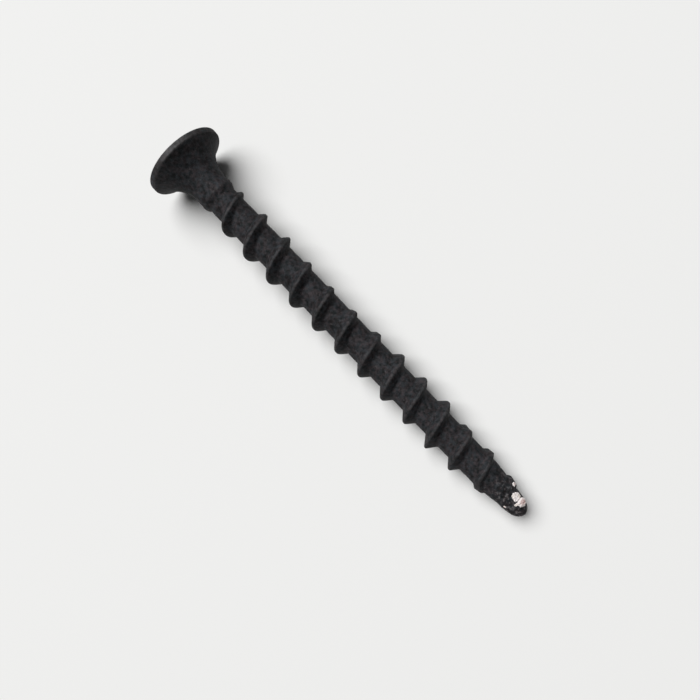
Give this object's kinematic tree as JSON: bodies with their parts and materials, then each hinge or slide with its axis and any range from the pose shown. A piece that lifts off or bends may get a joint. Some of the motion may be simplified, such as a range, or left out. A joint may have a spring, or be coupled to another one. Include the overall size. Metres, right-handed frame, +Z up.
{
  "type": "wood screw",
  "caption": "Black coarse-thread wood screw with a bugle head, a cross recess and a blunt worn point with dried plaster on it.",
  "frame": {"origin": "on the surface that the screw lies on, under the middle of its bounding box", "axes": "+X along the screw as it lies, from its point towards its head; +Z up; the screw's own axis rises 2.7 degrees towards the head"},
  "size_m": [0.0482, 0.0082, 0.0081],
  "materials": {
    "steel": "matt black phosphate coating on carbon steel",
    "plaster": "chalky, matt"
  },
  "bodies": {
    "root": {"screw": "steel", "plaster_patch": "plaster", "plaster_lump": "plaster", "plaster_spot": "plaster", "plaster_crumb": "plaster"}
  },
  "joints": []
}
